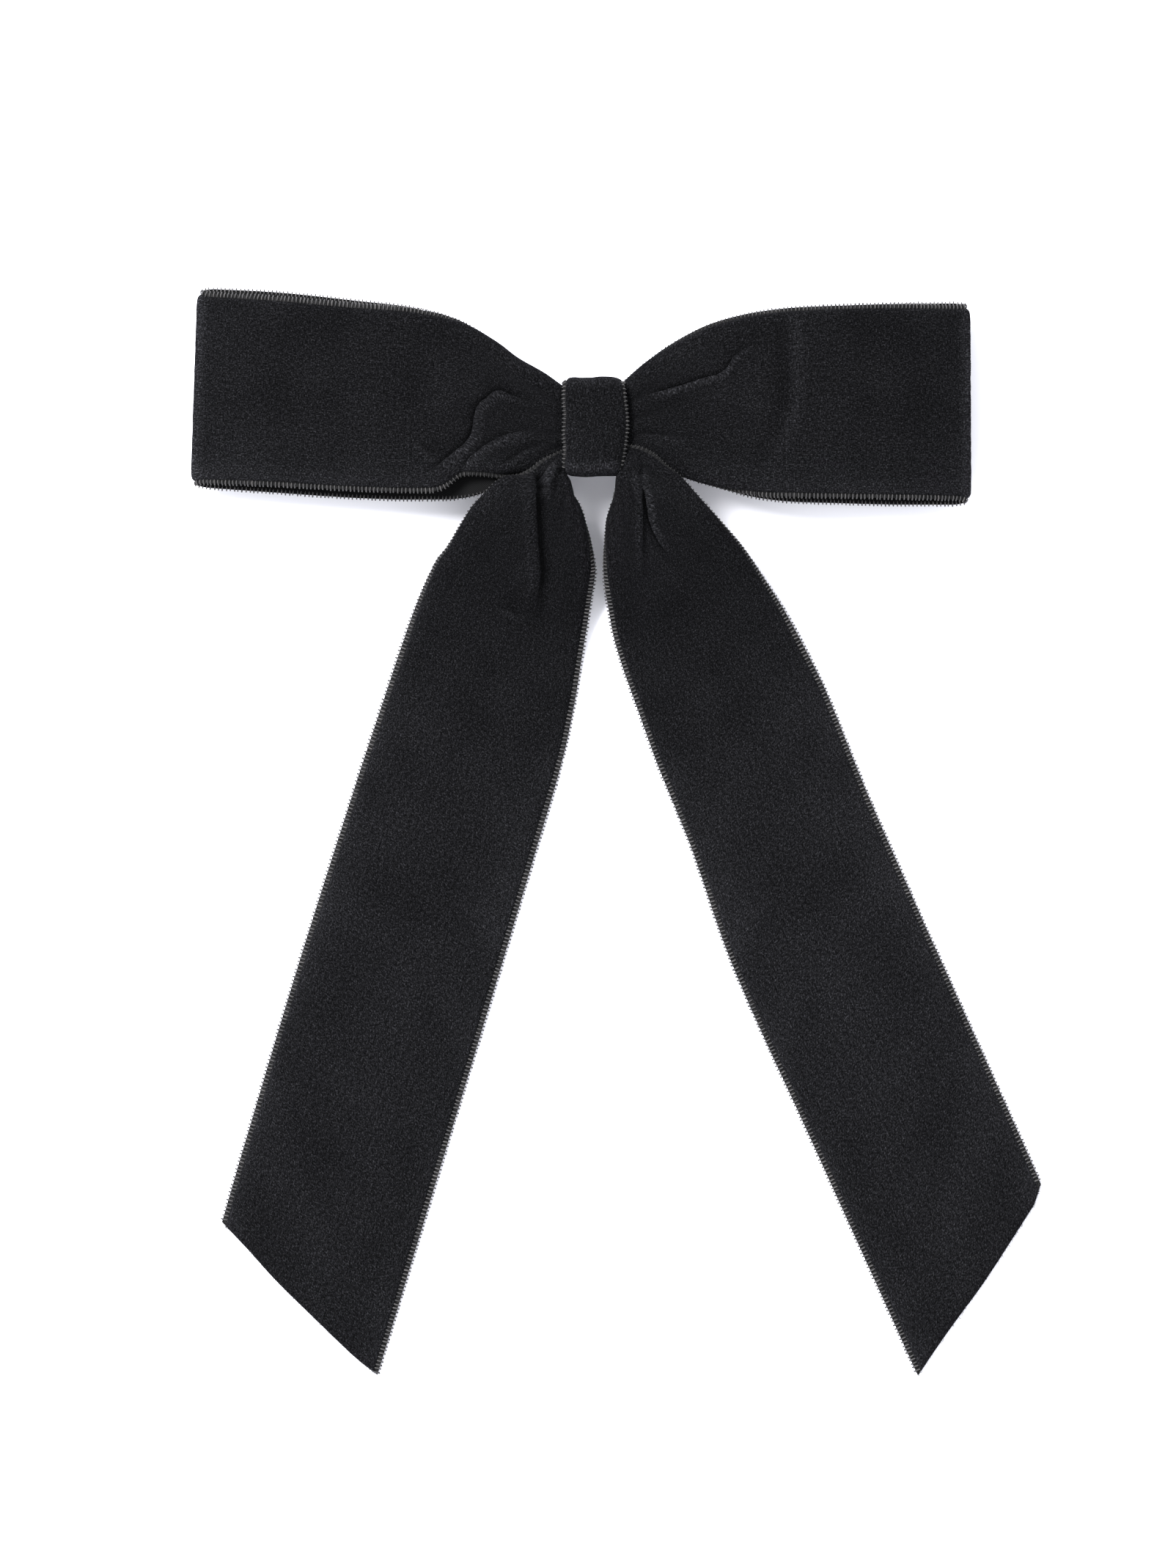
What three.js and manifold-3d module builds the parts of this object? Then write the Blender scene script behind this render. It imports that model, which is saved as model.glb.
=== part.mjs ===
// A velvet ribbon hair bow on a steel hair barrette. Millimetres.
// The bow lies on its back: +Z comes out of its front, +Y is up as it is worn, and +X is to the right as seen
// from the front. The origin is the middle of the barrette's flat rear face, straight behind the knot.

import * as THREE from "three";
import { mergeVertices } from "three/addons/utils/BufferGeometryUtils.js";
import Module from "manifold-3d";

const wasm = await Module();
wasm.setup();

// ---------- driving dimensions ----------

const GAP = 0.3; // clearance between neighbouring pieces
const VELVET = 1.6; // thickness of the ribbon, pile and backing together
const PAST = 60; // how far a blank runs to be past whatever cuts it

// Barrette
const BAR = { half: 40, width: 9, thick: 0.8, crown: 9.5, end: 4.8, corner: 1 };
const PIN = { x: -38, z: 2, radius: 0.6, half: 4.8, head: 1.1, headThick: 0.5 };
const KNUCKLE = 1.3; // outer radius of the rolled hinge knuckles
const BORE = PIN.radius + GAP;
const LUG = { inside: 3.7, radius: 1.5 };
const ARM = { width: 6.6, thick: 1, start: -33, end: 30, tip: 41, headWidth: 8.4, corner: 1 };
const ARM_STEP = { rise: 1.4, run: 3, lead: 0.6 }; // from the arm's flat face up to its eye
const ARM_ROOT = { x: -37.4, z: 1, lead: 0.4 }; // where the arm rises to its knuckles
const EYE = { start: 35.5, end: 39.3, halfWidth: 2.8 };
const MIDDLE_KNUCKLE = 1.3; // half width of the spring's knuckle, between the arm's two
const SPRING = { width: 4.4, thick: 0.4, crown: 3.5, tip: 30, corner: 1.4 };
const PRONG = { start: 36.2, end: 38.8, inner: 1.8, outer: 2.4, foot: 0.3, top: 3.7 };
const EAR = { reach: 5.1, underside: 3.2, lip: 0.4, lipThick: 0.5 }; // the prong's finger rest
const HOLE = { radius: 0.7, near: 31, far: 34 }; // the sewing holes at both ends of the bar
const THREAD = 0.25; // radius of the sewing thread
const PAD = { halfLength: 14, halfWidth: 4, corner: 1.5 }; // felt between the bar and the knot

// Knot
const WRAP = { left: -6.9, right: 6.6, bottom: -10.2, top: 9.9, back: 10.6, front: 19 };
const WRAP_THICK = 1.2;
const WRAP_CORNER = 2.4;
const WAIST = { bottom: -8.3, top: 8.2, back: 12.1, front: 14.6 }; // the loops where they run through the wrap
const BINDING = { half: 1.2, bottom: -7, top: 6.9, back: 12.9, front: 16.6, thick: 0.5 };

const WAIST_HALF = 7; // half the length of the waist, which the wrap hides

// Loops: the height of the rear layer's underside and of the front layer's top, at the middle and at the fold
const LOOP = { middle: 38, rearMiddle: 7.8, frontMiddle: 16.4, foldBack: 5.8, foldFront: 9.9 };
const REAR_BEND = { x: 21, z: 9.4 }; // where the rear layer turns outwards
const FRONT_BEND = 23; // where the front layer rises to its middle
const CREST = { inner: 4, outer: 6 }; // how far the front layer's crest runs on both sides of the middle
const FALL = { run: 18, drop: 1.6 }; // how the front layer starts down to the fold
const HOLLOW = { start: 13, back: 13, front: 13.4 }; // where the two layers part

// Tails: where they are free to lift, and where they come down on the surface that the bow lies on
const TAIL = { hinge: -15.15, rootBack: 15.6, rootFront: 17.8, landing: -56 };

// ---------- materials ----------

const velvet = () => new THREE.MeshStandardMaterial({ color: 0x1b1b1f, roughness: 0.95, metalness: 0 });
const thread = () => new THREE.MeshStandardMaterial({ color: 0x141416, roughness: 0.8, metalness: 0 });
const felt = () => new THREE.MeshStandardMaterial({ color: 0x202024, roughness: 1, metalness: 0 });
const steel = () => new THREE.MeshStandardMaterial({ color: 0xb9bcc2, roughness: 0.3, metalness: 1 });

// ---------- solids ----------

function toSolid(geometry) {
  const bare = geometry.index ? geometry.toNonIndexed() : geometry.clone();
  bare.deleteAttribute("normal");
  bare.deleteAttribute("uv");
  const merged = mergeVertices(bare, 1e-4);
  return new wasm.Manifold(
    new wasm.Mesh({
      numProp: 3,
      vertProperties: new Float32Array(merged.attributes.position.array),
      triVerts: new Uint32Array(merged.index.array),
    }),
  );
}

function toMesh(name, solid, material) {
  const { vertProperties, triVerts, numProp } = solid.getMesh();
  const positions = new Float32Array((vertProperties.length / numProp) * 3);
  for (let i = 0; i < positions.length / 3; i += 1) {
    for (let axis = 0; axis < 3; axis += 1) {
      positions[3 * i + axis] = vertProperties[numProp * i + axis];
    }
  }
  const geometry = new THREE.BufferGeometry();
  geometry.setAttribute("position", new THREE.BufferAttribute(positions, 3));
  geometry.setIndex(new THREE.BufferAttribute(new Uint32Array(triVerts), 1));
  geometry.computeVertexNormals();
  const mesh = new THREE.Mesh(geometry, material);
  mesh.name = name;
  return mesh;
}

function extrude(shape, depth, curveSegments) {
  return new THREE.ExtrudeGeometry(shape, { depth, bevelEnabled: false, curveSegments });
}

// An outline in plan, standing from z0 to z1
function plan(shape, z0, z1, curveSegments = 6) {
  return toSolid(extrude(shape, z1 - z0, curveSegments).translate(0, 0, z0));
}

// A side view, drawn as (x, z), running from y0 to y1
function sideView(shape, y0, y1, curveSegments = 8) {
  return toSolid(extrude(shape, y1 - y0, curveSegments).rotateX(Math.PI / 2).translate(0, y1, 0));
}

// An end view, drawn as (y, z), running from x0 to x1
function endView(shape, x0, x1, curveSegments = 8) {
  const turned = extrude(shape, x1 - x0, curveSegments);
  turned.applyMatrix4(new THREE.Matrix4().set(0, 0, 1, x0, 1, 0, 0, 0, 0, 1, 0, 0, 0, 0, 0, 1));
  return toSolid(turned);
}

function rectangle(left, bottom, right, top, corner = 0) {
  const shape = new THREE.Shape();
  shape.moveTo(left + corner, bottom);
  shape.lineTo(right - corner, bottom);
  if (corner) shape.absarc(right - corner, bottom + corner, corner, -Math.PI / 2, 0);
  shape.lineTo(right, top - corner);
  if (corner) shape.absarc(right - corner, top - corner, corner, 0, Math.PI / 2);
  shape.lineTo(left + corner, top);
  if (corner) shape.absarc(left + corner, top - corner, corner, Math.PI / 2, Math.PI);
  shape.lineTo(left, bottom + corner);
  if (corner) shape.absarc(left + corner, bottom + corner, corner, Math.PI, 1.5 * Math.PI);
  return shape;
}

function box(x0, y0, z0, x1, y1, z1) {
  return plan(rectangle(x0, y0, x1, y1), z0, z1);
}

function circle(x, y, radius) {
  const shape = new THREE.Shape();
  shape.absarc(x, y, radius, 0, 2 * Math.PI);
  return shape;
}

// A bar of the given radius along Y about the hinge pin's centre line
function hingeRound(radius, y0, y1) {
  return sideView(circle(PIN.x, PIN.z, radius), y0, y1, 10);
}

// ---------- barrette ----------

// A strip of even thickness whose top follows an arc from end to end over its crown
function archedStrip(half, crown, end, thick) {
  const rise = crown - end;
  const radius = (half * half + rise * rise) / (2 * rise);
  const sweep = Math.asin(half / radius);
  const shape = new THREE.Shape();
  shape.absarc(0, crown - radius, radius, Math.PI / 2 + sweep, Math.PI / 2 - sweep, true);
  shape.absarc(0, crown - radius, radius - thick, Math.PI / 2 - sweep, Math.PI / 2 + sweep, false);
  return shape;
}

function hingeLug() {
  const shape = new THREE.Shape();
  shape.moveTo(PIN.x - LUG.radius, BAR.end - 0.2);
  shape.lineTo(PIN.x - LUG.radius, PIN.z);
  shape.absarc(PIN.x, PIN.z, LUG.radius, Math.PI, 2 * Math.PI);
  shape.lineTo(PIN.x + LUG.radius, BAR.end - 0.2);
  return shape;
}

function baseBar() {
  const half = BAR.width / 2;
  const strip = sideView(archedStrip(BAR.half, BAR.crown, BAR.end, BAR.thick), -half, half, 16);
  let bar = strip.intersect(plan(rectangle(-BAR.half, -half, BAR.half, half, BAR.corner), 0, BAR.crown + 1));
  bar = bar.add(sideView(hingeLug(), LUG.inside, half));
  bar = bar.add(sideView(hingeLug(), -half, -LUG.inside));
  for (const x of [-HOLE.far, -HOLE.near, HOLE.near, HOLE.far]) {
    bar = bar.subtract(plan(circle(x, 0, HOLE.radius), 0, BAR.crown, 5));
  }
  return toMesh("base_bar", bar.subtract(hingeRound(BORE, -BAR.width, BAR.width)), steel());
}

function hingePin() {
  const { radius, half, head, headThick } = PIN;
  const profile = [
    [0, -half - headThick],
    [head, -half - headThick],
    [head, -half],
    [radius, -half],
    [radius, half],
    [head, half],
    [head, half + headThick],
    [0, half + headThick],
  ];
  const geometry = new THREE.LatheGeometry(profile.map(([r, y]) => new THREE.Vector2(r, y)), 16);
  geometry.translate(PIN.x, 0, PIN.z);
  return toMesh("hinge_pin", toSolid(geometry), steel());
}

// The arm lies flat on the head, steps up to its knuckles at one end and to its eye at the other
function claspArm() {
  const { width, thick, start, end, tip, headWidth, corner } = ARM;
  const { rise, run, lead } = ARM_STEP;
  const side = new THREE.Shape();
  side.moveTo(ARM_ROOT.x, ARM_ROOT.z);
  side.lineTo(start, 0);
  side.lineTo(end, 0);
  side.lineTo(end + run, rise);
  side.lineTo(tip, rise);
  side.lineTo(tip, rise + thick);
  side.lineTo(end + run - lead, rise + thick);
  side.lineTo(end - lead, thick);
  side.lineTo(start + ARM_ROOT.lead, thick);
  side.lineTo(ARM_ROOT.x, ARM_ROOT.z + thick);
  const outline = plan(rectangle(PIN.x - 2, -width / 2, end + 5, width / 2, corner), -1, 5)
    .add(plan(rectangle(end + run, -headWidth / 2, tip, headWidth / 2, corner), -1, 5))
    .subtract(box(EYE.start, -EYE.halfWidth, -2, EYE.end, EYE.halfWidth, 6));
  const middle = MIDDLE_KNUCKLE + GAP;
  const arm = sideView(side, -headWidth, headWidth)
    .intersect(outline)
    .add(hingeRound(KNUCKLE, -width / 2, width / 2))
    .subtract(box(PIN.x - 2, -middle, -2, PIN.x + 2.4, middle, 6))
    .subtract(hingeRound(BORE, -width, width));
  return toMesh("clasp_arm", arm, steel());
}

// A bowed leaf that shares the hinge pin and pushes the hair up against the bar
function tensionSpring() {
  const { width, thick, crown, tip, corner } = SPRING;
  const root = new THREE.Vector2(PIN.x + 0.8, PIN.z + 0.9);
  const foot = new THREE.Vector2(tip, ARM.thick + GAP + 0.1);
  const side = new THREE.Shape();
  side.moveTo(root.x, root.y);
  side.bezierCurveTo(root.x + 20, crown - thick + 0.3, tip - 22, crown - thick + 0.4, foot.x, foot.y);
  side.lineTo(foot.x, foot.y + thick);
  side.bezierCurveTo(tip - 22, crown + 0.4, root.x + 20, crown + 0.3, root.x, root.y + thick);
  const neck = plan(rectangle(PIN.x, -MIDDLE_KNUCKLE, PIN.x + 6, MIDDLE_KNUCKLE), -1, 6);
  const outline = plan(rectangle(PIN.x + 2.8, -width / 2, tip + 1, width / 2, corner), -1, 6).add(neck);
  const leaf = sideView(side, -width, width, 14)
    .intersect(outline)
    .add(hingeRound(KNUCKLE, -MIDDLE_KNUCKLE, MIDDLE_KNUCKLE))
    .subtract(hingeRound(BORE, -width, width));
  return toMesh("tension_spring", leaf, steel());
}

// One of the two sprung ears that hold the arm's eye; pinching them together lets it go
function latchProng(name, side) {
  const { start, end, inner, outer, foot, top } = PRONG;
  const { reach, underside, lip, lipThick } = EAR;
  const outline = [
    [inner, top],
    [inner, foot],
    [outer - 0.1, foot],
    [outer + 0.1, foot + 0.5],
    [outer, foot + 0.9],
    [outer, underside],
    [reach - lipThick, underside],
    [reach - lipThick, underside - lip],
    [reach, underside - lip],
    [reach, top],
  ];
  const shape = new THREE.Shape(outline.map(([y, z]) => new THREE.Vector2(side * y, z)));
  return toMesh(name, endView(shape, start, end), steel());
}

// ---------- ribbon loops ----------

// The flattened loop seen from the side: the rear layer runs out, folds over and comes back as the front layer
function loopSide(side, reach) {
  const { middle, rearMiddle, frontMiddle, foldBack, foldFront } = LOOP;
  const nose = (foldBack + foldFront) / 2;
  const rising = [side * (middle - CREST.inner), frontMiddle + 0.6, side * FRONT_BEND, WAIST.front - 0.1];
  const falling = [side * (reach - FALL.run), frontMiddle - FALL.drop];
  const shape = new THREE.Shape();
  shape.moveTo(side * GAP, WAIST.back);
  shape.lineTo(side * WAIST_HALF, WAIST.back);
  shape.quadraticCurveTo(side * REAR_BEND.x, REAR_BEND.z, side * middle, rearMiddle);
  shape.lineTo(side * (reach - 2), foldBack);
  shape.quadraticCurveTo(side * reach, foldBack, side * reach, nose);
  shape.quadraticCurveTo(side * reach, foldFront, side * (reach - 2), foldFront);
  shape.quadraticCurveTo(...falling, side * (middle + CREST.outer), frontMiddle);
  shape.bezierCurveTo(...rising, side * (WAIST_HALF + 1), WAIST.front);
  shape.lineTo(side * GAP, WAIST.front);
  return shape;
}

// The space between the two layers, from where they part to just inside the fold
function loopHollow(side, reach) {
  const { middle, rearMiddle, frontMiddle, foldBack, foldFront } = LOOP;
  const nose = (foldBack + foldFront) / 2;
  const roof = frontMiddle - VELVET;
  const rising = [side * (middle - CREST.inner), roof + 0.6, side * FRONT_BEND, HOLLOW.front];
  const shape = new THREE.Shape();
  shape.moveTo(side * HOLLOW.start, HOLLOW.back);
  shape.quadraticCurveTo(side * (REAR_BEND.x + 1), REAR_BEND.z + 1.4, side * middle, rearMiddle + VELVET);
  shape.lineTo(side * (reach - 3), foldBack + VELVET);
  shape.quadraticCurveTo(side * (reach - 1.6), nose, side * (reach - 3), foldFront - VELVET);
  shape.quadraticCurveTo(side * (reach - FALL.run - 1), roof - FALL.drop, side * (middle + CREST.outer), roof);
  shape.bezierCurveTo(...rising, side * HOLLOW.start, HOLLOW.front);
  return shape;
}

// The loop from the front: gathered at the waist, spreading over a shoulder to the full width at the outer fold
function loopPlan(side, { foldTop, foldBottom, shoulder, hip }) {
  const corner = 1.2;
  const shape = new THREE.Shape();
  shape.moveTo(0, WAIST.top);
  shape.lineTo(side * WAIST_HALF, WAIST.top);
  shape.quadraticCurveTo(side * shoulder.x, shoulder.y, side * shoulder.end, shoulder.top);
  shape.lineTo(side * (foldTop.x - corner), foldTop.y);
  shape.quadraticCurveTo(side * foldTop.x, foldTop.y, side * foldTop.x, foldTop.y - corner);
  shape.lineTo(side * foldBottom.x, foldBottom.y + corner);
  shape.quadraticCurveTo(side * foldBottom.x, foldBottom.y, side * (foldBottom.x - corner), foldBottom.y);
  shape.lineTo(side * hip.end, hip.y);
  shape.quadraticCurveTo(side * hip.x, hip.y, side * hip.start, hip.top);
  shape.lineTo(side * WAIST_HALF, WAIST.bottom);
  shape.lineTo(0, WAIST.bottom);
  return shape;
}

function ribbonLoop(name, side, outline) {
  const reach = Math.max(outline.foldTop.x, outline.foldBottom.x);
  const loop = sideView(loopSide(side, reach), -PAST, PAST, 10)
    .subtract(sideView(loopHollow(side, reach), -PAST - 1, PAST + 1, 10))
    .intersect(plan(loopPlan(side, outline), 0, 25, 10))
    .subtract(bindingBlock(GAP));
  return toMesh(name, loop, velvet());
}

// ---------- tails ----------

// A tail from the side, drawn as (y, z): off the knot, down a slope, then flat on the surface
function tailSide() {
  const root = TAIL.hinge - GAP / 2;
  const far = -220;
  const shape = new THREE.Shape();
  shape.moveTo(root, TAIL.rootBack);
  shape.bezierCurveTo(root - 12, TAIL.rootBack - 2, root - 20, 0, TAIL.landing, 0);
  shape.lineTo(far, 0);
  shape.lineTo(far, VELVET);
  shape.lineTo(TAIL.landing - 4, VELVET);
  shape.bezierCurveTo(root - 23, VELVET, root - 13, TAIL.rootFront - 2, root, TAIL.rootFront);
  return shape;
}

// A tail from the front: gathered at the root, full width below its shoulders, cut on the slant
function tailPlan({ rootInner, rootOuter, outerBend, outerShoulder, corner, tip, innerShoulder, innerBends }) {
  const root = TAIL.hinge - GAP / 2;
  const shape = new THREE.Shape();
  shape.moveTo(rootOuter, root);
  shape.quadraticCurveTo(...outerBend, ...outerShoulder);
  shape.lineTo(...corner);
  shape.lineTo(...tip);
  shape.lineTo(...innerShoulder);
  shape.bezierCurveTo(...innerBends[0], ...innerBends[1], rootInner, root);
  return shape;
}

function ribbonTail(name, outline) {
  const tail = endView(tailSide(), -100, 100, 10).intersect(plan(tailPlan(outline), -1, 25, 10));
  return toMesh(name, tail, velvet());
}

// The gathered middle of the tail ribbon: over the loops' waist, under the wrap, out at both sides and down
function tailGather(left, right) {
  const root = TAIL.hinge + GAP / 2;
  const shape = new THREE.Shape();
  shape.moveTo(left.rootOuter, root);
  shape.quadraticCurveTo(-16.5, -11, -7.4, -4.9);
  shape.quadraticCurveTo(0, -1.5, 7.3, -4.3);
  shape.quadraticCurveTo(14, -5, right.rootOuter, root);
  shape.lineTo(right.rootInner, root);
  shape.lineTo(WAIST_HALF, WAIST.bottom);
  shape.lineTo(-WAIST_HALF, WAIST.bottom);
  shape.lineTo(left.rootInner, root);
  const side = new THREE.Shape();
  side.moveTo(root, TAIL.rootBack);
  side.lineTo(0, TAIL.rootBack);
  side.lineTo(0, WRAP.front - WRAP_THICK - GAP);
  side.lineTo(root + 5, WRAP.front - WRAP_THICK - GAP);
  side.quadraticCurveTo(root + 1, TAIL.rootFront, root, TAIL.rootFront - 0.4);
  const gather = plan(shape, 0, 25, 8)
    .intersect(endView(side, -PAST, PAST))
    .subtract(wrapBelt(GAP))
    .subtract(bindingBlock(GAP));
  return toMesh("tail_gather", gather, velvet());
}

// ---------- knot ----------

// The wrap as a belt around the waist, grown on every side by the given margin
function wrapBelt(margin) {
  const { left, right, bottom, top, back, front } = WRAP;
  const inner = WRAP_THICK + margin;
  const belt = rectangle(bottom - margin, back - margin, top + margin, front + margin, WRAP_CORNER);
  belt.holes.push(
    rectangle(bottom + inner, back + inner, top - inner, front - inner, WRAP_CORNER - WRAP_THICK),
  );
  return endView(belt, left - margin, right + margin, 5);
}

// The turns of thread that gather the ribbons, as one ring in the waist, grown inwards by the given margin
function bindingBlock(margin) {
  const { half, bottom, top, back, front, thick } = BINDING;
  const ring = rectangle(bottom - thick - 1, back - thick - 1, top + thick + 1, front + thick + 1, 1.5);
  ring.holes.push(rectangle(bottom + margin, back + margin, top - margin, front - margin, 1));
  return endView(ring, -half - margin, half + margin, 5);
}

function gatheringThread() {
  const { half, bottom, top, back, front, thick } = BINDING;
  const ring = rectangle(bottom - thick, back - thick, top + thick, front + thick, 1.5);
  ring.holes.push(rectangle(bottom, back, top, front, 1));
  return toMesh("gathering_thread", endView(ring, -half, half, 5), thread());
}

function feltPad() {
  const { halfLength, halfWidth, corner } = PAD;
  const outline = rectangle(-halfLength, -halfWidth, halfLength, halfWidth, corner);
  return toMesh("felt_pad", plan(outline, BAR.crown + GAP, WRAP.back - GAP), felt());
}

// A short run of thread along the given points
function threadRun(name, points) {
  const extrudePath = new THREE.CatmullRomCurve3(points, false, "centripetal");
  const steps = 8 * (points.length - 1);
  const run = new THREE.ExtrudeGeometry(circle(0, 0, THREAD), { steps, curveSegments: 4, extrudePath });
  return toMesh(name, toSolid(run), thread());
}

// One thread tie: down through a sewing hole in the bar, across its underside and up through the next hole
function barStitch(name, side) {
  const high = LOOP.rearMiddle + 0.1;
  const low = BAR.end - 0.2;
  return threadRun(name, [
    new THREE.Vector3(side * HOLE.near, 0, high),
    new THREE.Vector3(side * HOLE.near, 0, low + 0.7),
    new THREE.Vector3(side * (HOLE.near + HOLE.far) * 0.5, 0, low),
    new THREE.Vector3(side * HOLE.far, 0, low + 0.7),
    new THREE.Vector3(side * HOLE.far, 0, high),
  ]);
}

// One slanting stitch of the seam that closes the wrap behind the knot
function wrapStitch(name, x) {
  const z = WRAP.back - THREAD - GAP;
  const slant = 0.5;
  return threadRun(name, [new THREE.Vector3(x, -8, z), new THREE.Vector3(x + slant, -5.6, z)]);
}

// ---------- the whole bow ----------

const LEFT_LOOP = {
  foldTop: { x: 82.4, y: 28.2 },
  foldBottom: { x: 83.8, y: -12.4 },
  shoulder: { x: 27, y: 23.6, end: 45, top: 25.4 },
  hip: { x: 24, y: -15, end: 38, start: 17, top: -11 },
};

const RIGHT_LOOP = {
  foldTop: { x: 78, y: 25.4 },
  foldBottom: { x: 77.8, y: -16 },
  shoulder: { x: 24.5, y: 23.2, end: 45, top: 24.9 },
  hip: { x: 32, y: -16, end: 52, start: 17, top: -11 },
};

const LEFT_TAIL = {
  rootInner: -5,
  rootOuter: -24.6,
  outerBend: [-34.6, -27.5],
  outerShoulder: [-44.1, -57.5],
  corner: [-77.3, -164.6],
  tip: [-45.5, -196.8],
  innerShoulder: [-8.8, -75.7],
  innerBends: [
    [-1.5, -51.6],
    [1.5, -28],
  ],
};

const RIGHT_TAIL = {
  rootInner: 3.5,
  rootOuter: 21.3,
  outerBend: [37.5, -30.5],
  outerShoulder: [48.8, -57.5],
  corner: [92.4, -156.7],
  tip: [66.8, -196.8],
  innerShoulder: [15.6, -75.7],
  innerBends: [
    [5.4, -51.6],
    [0.6, -30],
  ],
};

const bow = new THREE.Group();

bow.add(
  ribbonLoop("left_loop", -1, LEFT_LOOP),
  ribbonLoop("right_loop", 1, RIGHT_LOOP),
  tailGather(LEFT_TAIL, RIGHT_TAIL),
  ribbonTail("left_tail", LEFT_TAIL),
  ribbonTail("right_tail", RIGHT_TAIL),
);

bow.add(toMesh("knot_wrap", wrapBelt(0), velvet()), gatheringThread(), feltPad());
[-4, 0, 4].forEach((x, i) => bow.add(wrapStitch(`wrap_stitch_${i + 1}`, x)));

bow.add(
  baseBar(),
  hingePin(),
  claspArm(),
  tensionSpring(),
  latchProng("latch_prong_upper", 1),
  latchProng("latch_prong_lower", -1),
  barStitch("bar_stitch_left", -1),
  barStitch("bar_stitch_right", 1),
);

export default bow;
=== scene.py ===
"""The looks of a black velvet hair bow on a steel barrette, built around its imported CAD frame.

The bow lies on its back: +Z comes out of its front and +Y runs from the tails to the loops. Every ribbon is
made the same way. A grid of points on its backing is thickened into one closed mesh, with a bare woven
selvedge along both edges and a raised pile between them, and a row of picot stitches stands across each
selvedge. Lengths are in millimetres, apart from those of the lights, the camera and the frame's own calls,
which are in metres.
"""

import math

import bpy
import numpy as np
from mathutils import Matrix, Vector


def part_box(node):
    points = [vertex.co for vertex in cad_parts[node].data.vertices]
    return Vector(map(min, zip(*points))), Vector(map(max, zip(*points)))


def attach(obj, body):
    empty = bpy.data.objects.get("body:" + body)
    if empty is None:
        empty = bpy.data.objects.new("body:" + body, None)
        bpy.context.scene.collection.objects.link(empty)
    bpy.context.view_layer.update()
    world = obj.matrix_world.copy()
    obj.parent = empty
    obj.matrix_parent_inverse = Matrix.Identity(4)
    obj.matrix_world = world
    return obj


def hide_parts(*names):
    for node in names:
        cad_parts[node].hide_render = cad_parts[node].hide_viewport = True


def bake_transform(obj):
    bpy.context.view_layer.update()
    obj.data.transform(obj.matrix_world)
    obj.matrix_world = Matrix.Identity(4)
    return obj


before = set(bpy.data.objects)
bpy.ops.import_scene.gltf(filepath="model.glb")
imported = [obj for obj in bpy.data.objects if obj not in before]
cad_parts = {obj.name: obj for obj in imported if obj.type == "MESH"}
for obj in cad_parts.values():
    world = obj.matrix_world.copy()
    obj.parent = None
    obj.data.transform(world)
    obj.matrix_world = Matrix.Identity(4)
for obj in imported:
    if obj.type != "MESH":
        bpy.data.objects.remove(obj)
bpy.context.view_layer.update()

RIBBON_WIDTH = 39.5  # over the picot edges
WRAP_WIDTH = 13.6
SELVEDGE = 1.15  # from the picots' tips to the foot of the pile
TAIL_SELVEDGE = 1.45  # wider, because the tails lie flat
WRAP_SELVEDGE = 0.9
BACK = 0.15  # half of the backing's thickness, on each side of its middle
PILE = 1.2  # height of the pile above the backing's middle
HEM = 4.7  # how much of the ribbon curls at a rolled edge
STEP = 0.46  # spacing of the grid
PICOT_PITCH = 0.82
PICOT_RADIUS = 0.15
PICOT_REACH = 0.3  # how far the picots stand out past the woven edge
THREAD_RADIUS = 0.25
THREAD_PITCH = 1.1  # length of one full twist of the thread's two plies
FLOOR_HALF = 4000

# how the pile rises from the bare selvedge: (distance inside it, share of the full height)
PILE_RISE = [(-0.06, 0), (0, 0.25), (0.08, 0.4), (0.24, 0.58), (0.5, 0.75), (1, 0.92), (2, 1)]

LOOKED_AT = (-0.0015, -0.074, 0.008)
FRAME_HEIGHT = 0.325  # what the picture's long side covers
CAMERA_HEIGHT = 2.0
WORLD_STRENGTH = 1.8

STEEL_NODES = ("base_bar", "hinge_pin", "clasp_arm", "tension_spring",
               "latch_prong_upper", "latch_prong_lower")


# ---------- curves and numbers ----------

def smooth(low, high, value):
    """0 below low, 1 above high, and a smooth step between them."""
    t = np.clip((np.asarray(value, float) - low) / (high - low), 0, 1)
    return t * t * (3 - 2 * t)


def bell(value, width):
    """1 at 0, falling off on both sides over about the given width."""
    return np.exp(-(value / width) ** 2)


def lengths(points):
    """How far each point of a path is from its first, along the path."""
    return np.r_[0, np.cumsum(np.linalg.norm(np.diff(points, axis=0), axis=1))]


def unit(vectors):
    """The vectors, each scaled to a length of 1."""
    return vectors / np.maximum(np.linalg.norm(vectors, axis=-1, keepdims=True), 1e-9)


def hermite(t, start, leave, end, arrive):
    """The smooth curve from start to end that has the slopes leave and arrive there, at t from 0 to 1."""
    first = (1 + 2 * t) * (1 - t) ** 2 * start + t * (1 - t) ** 2 * leave
    return first + t * t * (3 - 2 * t) * end + t * t * (t - 1) * arrive


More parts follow.
